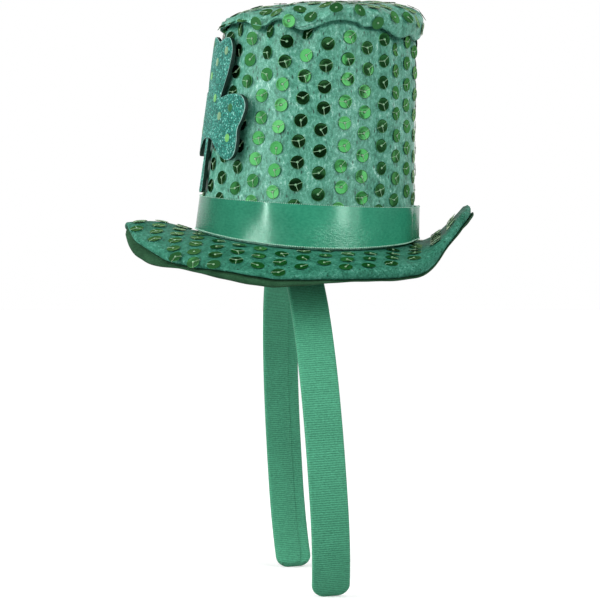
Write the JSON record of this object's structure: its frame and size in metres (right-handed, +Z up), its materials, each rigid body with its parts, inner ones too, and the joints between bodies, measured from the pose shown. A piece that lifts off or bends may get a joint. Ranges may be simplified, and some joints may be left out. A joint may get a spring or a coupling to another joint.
{
  "type": "mini top hat headband",
  "caption": "Small leaning top hat of sequin cloth with a satin ribbon, an upturned brim and a foam shamrock, fixed on a ribbon-wrapped arched headband.",
  "frame": {"origin": "underside of the middle of the headband's arch, where it rests on the head", "axes": "+Z up as worn, -Y towards the hat's front with the shamrock, X from ear to ear with +X at the wearer's left"},
  "size_m": [0.1359, 0.1361, 0.2255],
  "materials": {
    "grosgrain": "fine cross-ribbed grosgrain ribbon, matte with a slight sheen",
    "felt": "pressed felt, matte and slightly fuzzy",
    "sequin_cloth": "bluish green satin with a soft silvery sheen, sewn with sequins",
    "satin": "smooth satin ribbon with bright highlights",
    "glitter_foam": "teal green foam sheet coated with fine glitter",
    "sequin": "mirror green cupped sequins",
    "thread": "thin pale green thread with a slight sheen"
  },
  "bodies": {
    "root": {"headband": "grosgrain", "brim_felt": "felt", "brim_cover": "sequin_cloth", "crown_side": "sequin_cloth", "crown_tip": "sequin_cloth", "hat_ribbon": "satin", "shamrock": "glitter_foam"}
  },
  "joints": []
}
